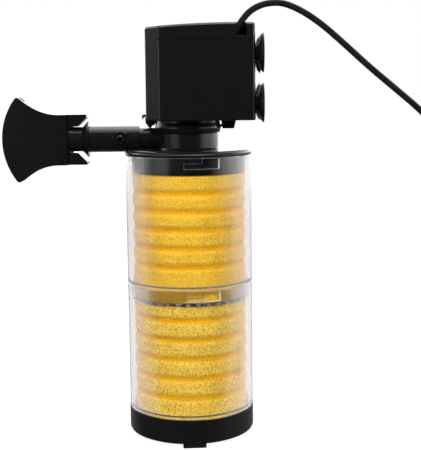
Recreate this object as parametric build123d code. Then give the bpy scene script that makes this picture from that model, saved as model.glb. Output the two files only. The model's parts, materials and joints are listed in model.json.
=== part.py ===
"""Two-stage internal power filter: motor head, pump chamber, outlet pipe with a swivelling fan nozzle,
two stacked canisters with foam inserts, bayonet bottom cap, suction cups and a flat mains cord.

Frame: the origin is on the canister axis in the plane of the feet. +Z is up, the fan nozzle points to -X,
the suction cups face +X. All sizes are in millimetres.
"""

from build123d import *
import math
import os

os.makedirs("parts", exist_ok=True)

# ---- canisters, cap and lid -------------------------------------------------------------------------
FOOT_H = 2.8
FOOT_WIDTH = 18.0
CAP_R = 50.4
CAP_FLOOR = 3.0
CAP_TOP_Z = 22.6
CAP_EDGE_R = 2.4
GRIP_RIBS = 10
GRIP_PITCH_DEG = 2.1

MODULE_H = 101.75
LOWER_Z = CAP_TOP_Z
UPPER_Z = LOWER_Z + MODULE_H
LID_Z = UPPER_Z + MODULE_H
BODY_R = 50.0
BORE_R = 47.8
SPIGOT_R = 47.4
SPIGOT_BORE_R = 45.5
SPIGOT_H = 12.6
FLOOR_T = 2.0
FLOOR_SLOTS = 36
FLOOR_SLOT_W = 2.6

LUG_COUNT = 3
LUG_FIRST_DEG = -84.9
LUG_WIDTH_DEG = 15.0
LUG_TWIST_DEG = 16.0
LUG_R = 49.2
LUG_H = 3.4
LUG_DROP = 8.0
SLOT_PLAY = 0.35
SLOT_PLAY_DEG = 0.5

LID_FLANGE_T = 2.5
LID_PLATE_R = 48.3
LID_PLATE_T = 1.8
LID_SKIRT_H = 13.5
LID_SKIRT_R = 45.3
LID_SKIRT_BORE_R = 43.2
LID_INLET_R = 9.0
LID_RING_R = 12.0

# ---- foam inserts -----------------------------------------------------------------------------------
SPONGE_R = 45.0
SPONGE_BORE_R = 8.0
GROOVE_R = 42.4
GROOVE_H = 6.0
SPONGE_PLAY = 0.4

# ---- pump chamber -----------------------------------------------------------------------------------
NECK_R = 24.0
NECK_FOOT_R = 24.6
COLLAR_EDGE_R = 25.2
COLLAR_BULGE_R = 26.2
CHAMBER_R = 20.0
NECK_Z = LID_Z + LID_FLANGE_T + LID_PLATE_T + 0.1
NECK_FLOOR_T = 3.0
COLLAR_Z = 243.0
HEAD_Z = 253.4
OUTLET_Y = 10.0
OUTLET_Z = 238.0
SPIGOT_OUT_R = 7.9
SPIGOT_OUT_BORE_R = 5.6
SPIGOT_ROOT_R = 8.6
SPIGOT_END_X = -50.0
TROUGH_PLAY = 0.35
LATCH_X = -30.4
LATCH_Z = 248.5
LATCH_BARREL_R = 1.7
LATCH_Y0 = 4.0
LATCH_Y1 = 12.0

# ---- outlet pipe, air boss, collar and fan nozzle ---------------------------------------------------
PIPE_R = 10.4
PIPE_BORE_R = 8.0
PIPE_START_X = -39.0
PIPE_END_X = -79.4
AIR_X = -53.6
AIR_BOSS_R = 6.3
AIR_BOSS_FRONT_Y = -1.6
NIPPLE_R = 3.3
NIPPLE_BORE_R = 1.7
NIPPLE_FRONT_Y = -5.4

RUN_GAP = 0.08
FLANGE_R = 14.2
FLANGE_T = 1.2
PIVOT_X = -95.0
BALL_R = 10.4
COLLAR_BORE_R = 6.0
PIN_R = 2.0
FAN_R = 53.5
FAN_HALF_H = 34.7
FAN_TIP_R = 2.6
FAN_EAR_X = -130.5
WAIST_HALF_H = 20.0
FAN_WALL = 2.2
FAN_SOCKET_HALF_T = 13.0
FAN_LIP_HALF_T = 6.0
CHEEK_END_X = -80.7
CHEEK_HALF_T = 8.0
CHEEK_INNER_Z = BALL_R + 0.1

# ---- motor head -------------------------------------------------------------------------------------
HEAD_LEFT_X = -31.7
HEAD_RIGHT_X = 52.3
HEAD_HALF_W = 38.4
HEAD_CORNER_CUT = 11.0
HEAD_EDGE_R = 3.0
HEAD_DRAFT_DEG = 0.15
HEAD_WALL = 2.4
HEAD_FLOOR_T = 2.6
SEAM_Z = 314.2
HEAD_TOP_Z = 327.6
HEAD_FOOT_R = 1.4
LID_BEVEL = 1.3
LID_ROOF_T = 3.6
SEAM_GROOVE = 0.5
LID_CROWN_R = 700.0
LID_CROWN_X = 34.0
WELL_R = 12.0
WELL_BORE_R = 10.5
WELL_TOP_Z = 301.5
NOTCH_X0 = 37.2
NOTCH_X1 = 45.4
NOTCH_Z = 317.2
GLAND_TILT_DEG = 34.0
GLAND_L = 22.0
GLAND_EXIT = Vector(40.5, -30.5, 325.3)
CUP_R = 15.0
CUP_Y = 27.5
CUP_Z = (266.4, 304.2)
CUP_FACE_X = 58.8
CUP_STEM_R = 3.0

# ---- motor ------------------------------------------------------------------------------------------
SHAFT_R = 1.5
LOWER_BUSH_Z = NECK_Z + NECK_FLOOR_T - 0.6
MAGNET_R = 9.3
MAGNET_Z0 = 258.0
MAGNET_Z1 = 288.0
IMPELLER_R = 13.5
BLADES = 6
STACK_Z0 = 264.0
STACK_Z1 = 284.0
LEG_Y0 = 6.5
LEG_Y1 = 23.0
YOKE_X0 = 36.0
YOKE_X1 = 46.0
BOBBIN_X0 = 15.0
BOBBIN_X1 = 35.5
BOBBIN_WALL = 1.0
WINDING_T = 4.2
POTTING_Z = 286.0

# ---- mains cord -------------------------------------------------------------------------------------
CORD_D = 5.0
COIL_X = 239.0
COIL_TURN_R = (21.5, 26.5, 31.5, 36.5)
COIL_LIFT = 0.8
PLUG_Y = 22.0
PLUG_Z = 17.4
PLUG_REAR_X = 235.0
PLUG_BODY_X = 247.0
PLUG_FACE_X = 272.0
PLUG_HALF_W = 17.6
PLUG_HALF_T = 6.8
PLUG_PIN_R = 2.0
PLUG_PIN_L = 19.0
PLUG_PIN_SPACING = 18.6
TIE_DEG = 300.0


def box(x0, x1, y0, y1, z0, z1):
    """A box between two opposite corners."""
    size = Box(x1 - x0, y1 - y0, z1 - z0)
    return Pos((x0 + x1) / 2, (y0 + y1) / 2, (z0 + z1) / 2) * size


def disc(radius, z0, z1, x=0.0, y=0.0):
    """An upright cylinder between two heights."""
    return Pos(x, y, (z0 + z1) / 2) * Cylinder(radius, z1 - z0)


def tube(outer, inner, z0, z1, x=0.0, y=0.0):
    """An upright tube between two heights."""
    return disc(outer, z0, z1, x, y) - disc(inner, z0 - 1, z1 + 1, x, y)


def bar_x(radius, x0, x1, y=OUTLET_Y, z=OUTLET_Z):
    """A cylinder along X."""
    return Pos((x0 + x1) / 2, y, z) * Rot(0, 90, 0) * Cylinder(radius, x1 - x0)


def bar_y(radius, y0, y1, x, z):
    """A cylinder along Y."""
    return Pos(x, (y0 + y1) / 2, z) * Rot(90, 0, 0) * Cylinder(radius, y1 - y0)


def turned(profile):
    """A solid of revolution about Z from (radius, height) points."""
    outline = Polyline(*[(r, 0, z) for r, z in profile], close=True)
    return revolve(make_face(outline), Axis.Z)


def turned_x(profile, y=OUTLET_Y, z=OUTLET_Z):
    """A solid of revolution about the line along X through (y, z), from (x, radius) points."""
    outline = Polyline(*[(x, y, z + r) for x, r in profile], close=True)
    return revolve(make_face(outline), Axis((0, y, z), (1, 0, 0)))


def sector(r0, r1, z0, z1, start_deg, width_deg):
    """A block of a ring: an arc-shaped tooth or slot."""
    steps = 6
    angles = [math.radians(start_deg + width_deg * i / steps) for i in range(steps + 1)]
    outer = ThreePointArc(*[(r1 * math.cos(a), r1 * math.sin(a)) for a in (angles[0], angles[3], angles[6])])
    inner = ThreePointArc(*[(r0 * math.cos(a), r0 * math.sin(a)) for a in (angles[6], angles[3], angles[0])])
    side_a = Line(outer @ 1, inner @ 0)
    side_b = Line(inner @ 1, outer @ 0)
    face = make_face(Wire([*outer.edges(), *side_a.edges(), *inner.edges(), *side_b.edges()]))
    return Pos(0, 0, z0) * extrude(face, z1 - z0)


def prism_y(points, y0, y1):
    """A prism between two Y planes from (x, z) points."""
    outline = Polyline(*[(x, y0, z) for x, z in points], close=True)
    return extrude(make_face(outline), y1 - y0, dir=(0, 1, 0))


def prism_z(points, z0, z1):
    """A prism between two heights from (x, y) points."""
    outline = Polyline(*[(x, y, z0) for x, y in points], close=True)
    return extrude(make_face(outline), z1 - z0, dir=(0, 0, 1))


def lug_angles():
    """The middle of each bayonet lug, in degrees from +X."""
    return [LUG_FIRST_DEG + 360 / LUG_COUNT * i for i in range(LUG_COUNT)]


def lugs(rim_z, root_r):
    """Bayonet lugs on the outside of a spigot or skirt that sits below the rim at rim_z."""
    z0 = rim_z - LUG_DROP
    out = []
    for middle in lug_angles():
        start = middle - LUG_WIDTH_DEG / 2
        out.append(sector(root_r - 0.6, LUG_R, z0, z0 + LUG_H, start, LUG_WIDTH_DEG))
    return out


def lug_slots(rim_z, outer_r):
    """L-shaped cuts: a leg that the lug locks in, and a channel that it drops through."""
    z0 = rim_z - LUG_DROP - SLOT_PLAY
    z1 = rim_z - LUG_DROP + LUG_H + SLOT_PLAY
    out = []
    for middle in lug_angles():
        start = middle - LUG_WIDTH_DEG / 2 - SLOT_PLAY_DEG
        width = LUG_WIDTH_DEG + 2 * SLOT_PLAY_DEG
        out.append(sector(BORE_R - 1, outer_r, z0, z1, start, width + LUG_TWIST_DEG))
        out.append(sector(BORE_R - 1, outer_r, z0, rim_z + 1, start + LUG_TWIST_DEG, width))
    return out


def canister(base_z):
    """A clear cup: wall, shoulder, spigot with a slotted floor, lugs below and L slots at the rim."""
    top_z = base_z + MODULE_H
    floor_z = base_z - SPIGOT_H
    body = turned(
        [
            (0, floor_z),
            (SPIGOT_R, floor_z),
            (SPIGOT_R, base_z),
            (BODY_R, base_z),
            (BODY_R, top_z),
            (BORE_R, top_z),
            (BORE_R, base_z + 3.0),
            (SPIGOT_BORE_R, base_z + 1.0),
            (SPIGOT_BORE_R, floor_z + FLOOR_T),
            (0, floor_z + FLOOR_T),
        ]
    )
    body += lugs(base_z, SPIGOT_R)
    cuts = lug_slots(top_z, BODY_R + 1)
    slot = box(30, 60, -FLOOR_SLOT_W / 2, FLOOR_SLOT_W / 2, floor_z - 1, floor_z + FLOOR_T + 4.0)
    inner_slot = box(12, 26, -FLOOR_SLOT_W / 2, FLOOR_SLOT_W / 2, floor_z - 1, floor_z + FLOOR_T + 1)
    for i in range(FLOOR_SLOTS):
        cuts.append(Rot(0, 0, 360 / FLOOR_SLOTS * (i + 0.5)) * slot)
    for i in range(FLOOR_SLOTS // 3):
        cuts.append(Rot(0, 0, 1080 / FLOOR_SLOTS * i) * inner_slot)
    return body - cuts


def sponge(bottom_z, top_z, first_groove_z, pitch, grooves):
    """A foam ring with annular grooves."""
    body = tube(SPONGE_R, SPONGE_BORE_R, bottom_z, top_z)
    half = GROOVE_H / 2
    for i in range(grooves):
        z = first_groove_z + pitch * i
        body -= turned(
            [
                (SPONGE_R + 1, z - half - 0.6),
                (GROOVE_R, z - half + 1.0),
                (GROOVE_R, z + half - 1.0),
                (SPONGE_R + 1, z + half + 0.6),
            ]
        )
    return body


def bottom_cap():
    """Screw cap with blind bayonet grooves, grip ribs, feet and an intake grille in its floor."""
    floor_top = FOOT_H + CAP_FLOOR
    body = turned(
        [
            (0, FOOT_H),
            (CAP_R - CAP_EDGE_R, FOOT_H),
            (CAP_R - CAP_EDGE_R / 3, FOOT_H + CAP_EDGE_R / 3),
            (CAP_R, FOOT_H + CAP_EDGE_R),
            (CAP_R, CAP_TOP_Z - 0.2),
            (BORE_R, CAP_TOP_Z - 0.2),
            (BORE_R, floor_top),
            (0, floor_top),
        ]
    )
    for middle in lug_angles():
        for i in range(GRIP_RIBS):
            angle = middle - 1.5 + GRIP_PITCH_DEG * (i - (GRIP_RIBS - 1) / 2)
            body += sector(CAP_R - 0.5, CAP_R + 0.7, FOOT_H + 2.0, CAP_TOP_Z - 1.6, angle - 0.5, 1.0)
        foot = box(CAP_R - 11, CAP_R - 1.2, -FOOT_WIDTH / 2, FOOT_WIDTH / 2, 0, FOOT_H + 0.5)
        body += Rot(0, 0, middle - 1.5) * foot
    cuts = lug_slots(CAP_TOP_Z, LUG_R + 0.3)
    slot = box(14, 38, -1.3, 1.3, FOOT_H - 1, floor_top + 1)
    for i in range(24):
        cuts.append(Rot(0, 0, 15 * i) * slot)
    return body - cuts


def canister_lid():
    """Two-tier lid: flange on the rim, raised plate, skirt inside the canister, inlet ring, pipe trough."""
    flange_z = LID_Z + LID_FLANGE_T
    top_z = flange_z + LID_PLATE_T
    body = turned(
        [
            (LID_INLET_R, LID_Z),
            (LID_SKIRT_BORE_R, LID_Z),
            (LID_SKIRT_BORE_R, LID_Z - LID_SKIRT_H),
            (LID_SKIRT_R, LID_Z - LID_SKIRT_H),
            (LID_SKIRT_R, LID_Z + 0.05),
            (BODY_R, LID_Z + 0.05),
            (BODY_R + 0.2, LID_Z + 0.5),
            (BODY_R + 0.2, flange_z - 0.5),
            (BODY_R - 0.3, flange_z),
            (LID_PLATE_R + 0.2, flange_z),
            (LID_PLATE_R, flange_z + 0.3),
            (LID_PLATE_R, top_z - 0.7),
            (LID_PLATE_R - 0.2, top_z - 0.2),
            (LID_PLATE_R - 0.8, top_z),
            (LID_RING_R, top_z),
            (LID_RING_R, top_z + 1.5),
            (LID_INLET_R, top_z + 1.5),
        ]
    )
    body += lugs(LID_Z, LID_SKIRT_R)
    body -= bar_x(PIPE_R + TROUGH_PLAY, -BODY_R - 4, PIPE_START_X + 0.8)
    return body - bar_x(SPIGOT_ROOT_R + TROUGH_PLAY, -BODY_R - 4, -LID_RING_R - 2)


def volute_cover():
    """Pump chamber with its floor spider, tangential outlet spigot, rear tongue and latch bracket."""
    floor_z = NECK_Z + NECK_FLOOR_T
    top_z = HEAD_Z - 0.1
    body = turned(
        [
            (0, NECK_Z),
            (NECK_FOOT_R, NECK_Z),
            (NECK_FOOT_R - 0.7, NECK_Z + 1.0),
            (NECK_R, NECK_Z + 2.6),
            (NECK_R, COLLAR_Z - 0.7),
            (NECK_R - 0.5, COLLAR_Z - 0.5),
            (NECK_R - 0.5, COLLAR_Z),
            (COLLAR_EDGE_R, COLLAR_Z + 0.3),
            (COLLAR_BULGE_R, 246.8),
            (COLLAR_BULGE_R - 0.4, 249.0),
            (COLLAR_EDGE_R, 251.4),
            (COLLAR_EDGE_R, top_z),
            (CHAMBER_R + 1.05, top_z),
            (CHAMBER_R + 1.05, 250.2),
            (CHAMBER_R, 250.2),
            (CHAMBER_R, floor_z),
            (0, floor_z),
        ]
    )
    body += bar_x(SPIGOT_OUT_R, SPIGOT_END_X, -16)
    body += bar_x(SPIGOT_ROOT_R, PIPE_START_X + 0.4, -16)
    body += box(-28.6, -18.0, LATCH_Y1 + 0.4, LATCH_Y1 + 2.6, 249.6, top_z)
    body += box(22.0, 33.2, -3.6, 3.6, 247.4, 249.3)
    body -= disc(CHAMBER_R, floor_z, 250.2)
    body -= bar_x(SPIGOT_OUT_BORE_R, SPIGOT_END_X - 1, -4)
    body -= disc(LID_RING_R + 0.05, NECK_Z - 1, NECK_Z + 1.5)
    for i in range(3):
        arm_gap = sector(4.6, LID_INLET_R - 0.4, NECK_Z - 1, floor_z + 1, 120 * i + 15, 90)
        body -= arm_gap
    hub = tube(5.0, 3.5, floor_z - 1.0, floor_z + 2.4)
    body += hub
    body -= disc(3.5, floor_z - 0.6, floor_z + 4)
    return body


def latch_lever():
    """Snap lever over the spigot: it turns on its barrel, its nose holds in the housing's side."""
    outline = [
        (LATCH_X - 1.7, LATCH_Z),
        (LATCH_X + 1.7, LATCH_Z),
        (-26.6, LATCH_Z + 0.4),
        (-26.6, 250.0),
        (-28.2, 250.6),
        (-28.2, 252.8),
        (HEAD_LEFT_X - 0.7, 252.9),
        (HEAD_LEFT_X - 0.7, 254.7),
        (HEAD_LEFT_X + 0.5, 255.0),
        (HEAD_LEFT_X - 0.8, 256.6),
        (HEAD_LEFT_X - 2.6, 257.6),
        (HEAD_LEFT_X - 4.6, 257.0),
        (HEAD_LEFT_X - 5.1, 254.6),
        (HEAD_LEFT_X - 4.1, 253.6),
        (HEAD_LEFT_X - 3.5, 255.3),
        (HEAD_LEFT_X - 2.6, 255.4),
        (HEAD_LEFT_X - 2.0, 250.2),
    ]
    barrel = bar_y(LATCH_BARREL_R, LATCH_Y0, LATCH_Y1, LATCH_X, LATCH_Z)
    return prism_y(outline, LATCH_Y0, LATCH_Y1) + barrel


def latch_recess():
    """The pocket in the housing's side that the lever's nose holds in."""
    return box(HEAD_LEFT_X - 1.2, HEAD_LEFT_X + 1.2, LATCH_Y0 - 0.6, LATCH_Y1 + 0.6, 254.2, 257.0)


# ---- outlet -----------------------------------------------------------------------------------------
def outlet_pipe():
    """Pipe pushed on the spigot, with a boss for the air nipple."""
    body = bar_x(PIPE_R, PIPE_END_X, PIPE_START_X)
    body += bar_y(AIR_BOSS_R, AIR_BOSS_FRONT_Y, OUTLET_Y, AIR_X, OUTLET_Z)
    body -= bar_y(AIR_BOSS_R - 1.2, AIR_BOSS_FRONT_Y - 1, AIR_BOSS_FRONT_Y + 0.9, AIR_X, OUTLET_Z)
    body -= bar_x(PIPE_BORE_R, PIPE_END_X - 1, PIPE_START_X + 1)
    body -= bar_x(PIPE_BORE_R + 0.5, PIPE_START_X - 0.8, PIPE_START_X + 1)
    return body - bar_y(2.4, AIR_BOSS_FRONT_Y - 1, OUTLET_Y, AIR_X, OUTLET_Z)


def air_nipple():
    """Nipple in the boss: a stem in the pipe's wall and a rounded barb in front."""
    stem = bar_y(2.4, AIR_BOSS_FRONT_Y + 0.9, OUTLET_Y - PIPE_BORE_R + 0.4, AIR_X, OUTLET_Z)
    barb = bar_y(NIPPLE_R, NIPPLE_FRONT_Y, AIR_BOSS_FRONT_Y + 0.9, AIR_X, OUTLET_Z)
    barb = chamfer(barb.edges().sort_by(Axis.Y)[0], 0.8)
    return stem + barb - bar_y(NIPPLE_BORE_R, NIPPLE_FRONT_Y - 1, OUTLET_Y - 1, AIR_X, OUTLET_Z)


def nozzle_collar():
    """Swivel collar: a stem that turns in the pipe, a flared flange and a ball for the fan."""
    start_x = PIPE_END_X - RUN_GAP
    flange_x = start_x - FLANGE_T
    stem_r = PIPE_BORE_R - RUN_GAP
    body = turned_x(
        [
            (start_x + 9.0, 0),
            (start_x + 9.0, stem_r),
            (start_x, stem_r),
            (start_x, FLANGE_R - 0.3),
            (start_x - 0.3, FLANGE_R),
            (flange_x, FLANGE_R),
            (flange_x - 1.2, FLANGE_R - 1.6),
            (flange_x - 4.0, BALL_R - 0.6),
            (PIVOT_X, BALL_R - 0.6),
            (PIVOT_X, 0),
        ]
    )
    ball = Pos(PIVOT_X, OUTLET_Y, OUTLET_Z) * Sphere(BALL_R)
    body += ball - bar_x(BALL_R + 1, PIVOT_X - BALL_R - 1, PIVOT_X - 6.0)
    body -= bar_x(COLLAR_BORE_R, PIVOT_X - BALL_R - 1, start_x + 10)
    return body - disc(PIN_R, OUTLET_Z - 20, OUTLET_Z + 20, PIVOT_X, OUTLET_Y)


def pivot_pins():
    """Two pins pressed in the collar's ball, one above and one below, that carry the fan."""
    top = disc(PIN_R, OUTLET_Z + 7.0, OUTLET_Z + WAIST_HALF_H - 0.6, PIVOT_X, OUTLET_Y)
    return [top, mirror(top, Plane.XY.offset(OUTLET_Z))]


def fan_outline(inset, open_x):
    """The fan's side outline as a face in the XZ plane: straight waist, flared sides and a round lip."""
    half = WAIST_HALF_H - inset
    tip = FAN_HALF_H - inset
    lip = FAN_R + (3.0 if inset else 0.0)
    lip_dx = -math.sqrt(lip**2 - tip**2)
    x_tip = PIVOT_X + lip_dx
    upper = Line((open_x, half), (PIVOT_X - 7.0, half))
    flare = Bezier(upper @ 1, (PIVOT_X - 21.0, half), (x_tip + 9.5, tip - 8.0), (x_tip, tip))
    mouth = ThreePointArc(flare @ 1, (PIVOT_X - lip, 0), (x_tip, -tip))
    lower_flare = mirror(flare, Plane.XZ)
    lower = mirror(upper, Plane.XZ)
    back = Line(lower @ 0, upper @ 0)
    lines = (upper, flare, mouth, lower_flare, lower, back)
    face = make_face(Wire([edge for line in lines for edge in line.edges()]))
    if not inset:
        face = fillet(face.vertices().sort_by(Axis.X)[:2], FAN_TIP_R)
    return Pos(0, 0, OUTLET_Z) * Rot(90, 0, 0) * face


def fan_wedge(inset, open_x):
    """The fan seen from above: parallel at the socket, thinning to the lip."""
    socket = FAN_SOCKET_HALF_T - inset
    lip = FAN_LIP_HALF_T - inset
    lip_x = PIVOT_X - FAN_R - 6
    points = [
        (open_x, OUTLET_Y - socket),
        (open_x, OUTLET_Y + socket),
        (PIVOT_X - 8.0, OUTLET_Y + socket),
        (lip_x, OUTLET_Y + lip),
        (lip_x, OUTLET_Y - lip),
        (PIVOT_X - 8.0, OUTLET_Y - socket),
    ]
    return prism_z(points, OUTLET_Z - 40, OUTLET_Z + 40)


def fan_nozzle():
    """Duckbill fan: two plates joined by curved side walls, with solid cheeks beside the ball."""
    front = Pos(0, OUTLET_Y + 14, 0) * extrude(fan_outline(0, CHEEK_END_X), 28, dir=(0, -1, 0))
    body = front & fan_wedge(0, CHEEK_END_X)
    inner = Pos(0, OUTLET_Y + 14, 0) * extrude(fan_outline(FAN_WALL, PIVOT_X - 5.0), 28, dir=(0, -1, 0))
    body -= inner & fan_wedge(FAN_WALL, PIVOT_X - 5.0)
    mouth_half = FAN_LIP_HALF_T - FAN_WALL
    for side in (-1, 1):
        z_open, z_out = sorted((OUTLET_Z + side * (FAN_HALF_H - 8), OUTLET_Z + side * (FAN_HALF_H + 2)))
        body -= box(-160, FAN_EAR_X, OUTLET_Y - mouth_half, OUTLET_Y + mouth_half, z_open, z_out)
    body -= Pos(PIVOT_X, OUTLET_Y, OUTLET_Z) * Sphere(BALL_R + 0.5)
    body -= bar_x(COLLAR_BORE_R + 2.5, PIVOT_X - 12, PIVOT_X)
    rim_x = PIVOT_X - 1.0
    for side in (-1, 1):
        y_edge = OUTLET_Y + side * CHEEK_HALF_T
        y_far = OUTLET_Y + side * 20
        body -= box(rim_x, CHEEK_END_X + 1, min(y_edge, y_far), max(y_edge, y_far), 200, 280)
        z_inner = OUTLET_Z + side * CHEEK_INNER_Z
        z_tip = OUTLET_Z + side * (WAIST_HALF_H - 2.2)
        taper = [
            (PIVOT_X + 1.5, z_inner),
            (PIVOT_X + 7.0, z_inner),
            (CHEEK_END_X + 0.1, z_tip),
            (CHEEK_END_X + 2, OUTLET_Z),
            (PIVOT_X + 1.5, OUTLET_Z),
        ]
        body -= prism_y(taper, OUTLET_Y - 15, OUTLET_Y + 15)
        pin_hole = disc(PIN_R + RUN_GAP, 0, WAIST_HALF_H - 0.4, PIVOT_X, OUTLET_Y)
        body -= Pos(0, 0, OUTLET_Z) * (pin_hole if side > 0 else mirror(pin_hole, Plane.XY))
    return body


# ---- motor head -------------------------------------------------------------------------------------
def head_block(inset, z0, z1):
    """The head's plan with its two bevelled front corners, between two heights."""
    left = HEAD_LEFT_X + inset
    right = HEAD_RIGHT_X - inset
    half = HEAD_HALF_W - inset
    cut = HEAD_CORNER_CUT - inset * 0.4
    outline = Polyline(
        (left, -half + cut),
        (left + cut, -half),
        (right, -half),
        (right, half),
        (left + cut, half),
        (left, half - cut),
        close=True,
    )
    plan = make_face(outline)
    plan = fillet(plan.vertices(), max(HEAD_EDGE_R - inset, 0.6))
    block = Pos(0, 0, HEAD_Z) * extrude(plan, HEAD_TOP_Z + 2 - HEAD_Z, taper=HEAD_DRAFT_DEG)
    return block & box(-60, 80, -60, 60, z0, z1)


def crown():
    """The large ball that rounds the lid's top."""
    return Pos(LID_CROWN_X, 0, HEAD_TOP_Z - LID_CROWN_R) * Sphere(LID_CROWN_R)


def cup_sockets():
    """Blind bosses in the right wall that hold the suction cups' necks."""
    return [
        bar_x(4.2, HEAD_RIGHT_X - 6.5, HEAD_RIGHT_X - 1.5, side * CUP_Y, z)
        for side in (-1, 1)
        for z in CUP_Z
    ]


def pump_housing():
    """Motor box: slightly drafted walls, floor with the rotor well and its locating disc, rear hook, cup sockets."""
    body = head_block(0, HEAD_Z, SEAM_Z)
    body -= head_block(HEAD_WALL, HEAD_Z + HEAD_FLOOR_T, SEAM_Z + 1)
    edges = body.edges().group_by(Axis.Z)[0].filter_by_position(Axis.X, -60, 60)
    body = fillet(edges, HEAD_FOOT_R)
    body += disc(WELL_R, HEAD_Z, WELL_TOP_Z)
    body += disc(CHAMBER_R + 1.0, 250.3, HEAD_Z + 0.5)
    body -= disc(WELL_BORE_R, 249, 295.5)
    body -= disc(4.0, 295, 299.5)
    hook = prism_y([(27.4, 246.0), (36.4, 246.0), (38.4, HEAD_Z + 0.5), (26.0, HEAD_Z + 0.5)], -4.5, 4.5)
    body += hook - box(20, 33.4, -3.8, 3.8, 247.2, 251.2)
    body += cup_sockets()
    for side in (-1, 1):
        for z in CUP_Z:
            body -= bar_x(CUP_STEM_R, HEAD_RIGHT_X - 5.0, HEAD_RIGHT_X + 1, side * CUP_Y, z)
    return body - latch_recess()


def gland_cone(grow):
    """The strain relief's outside, on its tilted axis, from its flange to its tip."""
    axis_tilt = Pos(*GLAND_EXIT) * Rot(0, GLAND_TILT_DEG, 0)
    profile = [
        (0, -GLAND_L),
        (4.4 + grow, -GLAND_L),
        (4.4 + grow, -17.0),
        (5.0 + grow, -16.4),
        (5.0 + grow, -14.6),
        (4.2 + grow, -14.0),
        (3.2 + grow, 0),
        (0, 0),
    ]
    return axis_tilt * turned(profile)


def cord_gland():
    """Tapered strain relief, moulded on the cord, with a flange under the lid."""
    return gland_cone(0)


def housing_lid():
    """Crowned lid with a bevelled top edge, a locating lip and the notch for the cord."""
    body = head_block(0, SEAM_Z, HEAD_TOP_Z + 1) & crown()
    body = chamfer(body.edges().filter_by_position(Axis.Z, HEAD_TOP_Z - 7, HEAD_TOP_Z + 1), LID_BEVEL)
    body -= head_block(HEAD_WALL, SEAM_Z - 1, HEAD_TOP_Z - LID_ROOF_T)
    lip = head_block(HEAD_WALL + 0.15, SEAM_Z - 3, SEAM_Z) + head_block(HEAD_WALL - 0.4, SEAM_Z, SEAM_Z + 2)
    body += lip - head_block(HEAD_WALL + 1.6, SEAM_Z - 4, SEAM_Z + 3)
    groove_top = SEAM_Z + SEAM_GROOVE
    body -= head_block(-1, SEAM_Z - 1, groove_top) - head_block(SEAM_GROOVE, SEAM_Z - 1, groove_top)
    body -= box(NOTCH_X0, NOTCH_X1, -HEAD_HALF_W - 1, -29.0, NOTCH_Z, HEAD_TOP_Z + 2)
    return body - gland_cone(0.1)


def suction_cup(y, z):
    """Rubber cup with a waisted neck that plugs into the housing."""
    root_x = HEAD_RIGHT_X - 5.0
    face_x = CUP_FACE_X
    body = turned_x(
        [
            (root_x, 0),
            (root_x, CUP_STEM_R - 0.1),
            (HEAD_RIGHT_X + 0.1, CUP_STEM_R - 0.1),
            (HEAD_RIGHT_X + 0.1, 5.2),
            (HEAD_RIGHT_X + 1.6, 6.2),
            (face_x - 2.6, CUP_R - 2.2),
            (face_x - 0.6, CUP_R),
            (face_x, CUP_R - 0.2),
            (face_x, CUP_R - 1.4),
            (face_x - 1.4, CUP_R - 3.0),
            (face_x - 3.6, 5.0),
            (face_x - 4.0, 0),
        ],
        y,
        z,
    )
    return body


# ---- motor ------------------------------------------------------------------------------------------
def rotor_magnet():
    """Ring magnet on the impeller's sleeve."""
    return tube(MAGNET_R, 3.2, MAGNET_Z0, MAGNET_Z1)


def impeller():
    """Sleeve, hub, back plate and straight blades, running on the shaft."""
    body = disc(3.2, LOWER_BUSH_Z + 3.3, 294.8) + disc(5.0, 236.8, 248.6)
    body += disc(IMPELLER_R, 246.6, 248.6)
    body += disc(6.0, 248.6, MAGNET_Z0)
    body += disc(6.0, MAGNET_Z1, MAGNET_Z1 + 2.0)
    for i in range(BLADES):
        blade = box(3.0, IMPELLER_R, -0.8, 0.8, 237.2, 247.0)
        body += Rot(0, 0, 360 / BLADES * i) * blade
    return body - disc(SHAFT_R + 0.06, 230, 300)


def rotor_shaft():
    """Fixed ceramic shaft between the two bushes."""
    return disc(SHAFT_R, LOWER_BUSH_Z + 0.1, 299.2)


def bush(z0, z1, radius):
    """Rubber bush that holds one end of the shaft."""
    return tube(radius, SHAFT_R, z0, z1)


def stator_core():
    """Laminated U core: a yoke and two legs that end round the rotor well."""
    body = box(-15, YOKE_X1, -LEG_Y1, LEG_Y1, STACK_Z0, STACK_Z1)
    body -= box(-16, YOKE_X0, -LEG_Y0, LEG_Y0, STACK_Z0 - 1, STACK_Z1 + 1)
    body -= disc(WELL_R + 0.1, STACK_Z0 - 1, STACK_Z1 + 1)
    for i in range(1, 7):
        z = STACK_Z0 + (STACK_Z1 - STACK_Z0) / 7 * i
        groove = box(YOKE_X1 - 0.4, YOKE_X1 + 1, -LEG_Y1 - 1, LEG_Y1 + 1, z - 0.15, z + 0.15)
        body -= groove
    return body


def coil_bobbins():
    """Two bobbins, each a box tube with two flanges, on the core's legs."""
    out = []
    for side in (-1, 1):
        y0, y1 = sorted((side * LEG_Y0, side * LEG_Y1))
        inner = box(BOBBIN_X0 - 1, BOBBIN_X1 + 1, y0, y1, STACK_Z0, STACK_Z1)
        wall = BOBBIN_WALL
        core = box(BOBBIN_X0, BOBBIN_X1, y0 - wall, y1 + wall, STACK_Z0 - wall, STACK_Z1 + wall)
        reach = wall + WINDING_T + 0.6
        flange_box = (y0 - reach, y1 + reach, STACK_Z0 - reach, STACK_Z1 + reach)
        core += box(BOBBIN_X0, BOBBIN_X0 + 1.2, *flange_box)
        core += box(BOBBIN_X1 - 1.2, BOBBIN_X1, *flange_box)
        out.append(core - inner)
    return out


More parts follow.
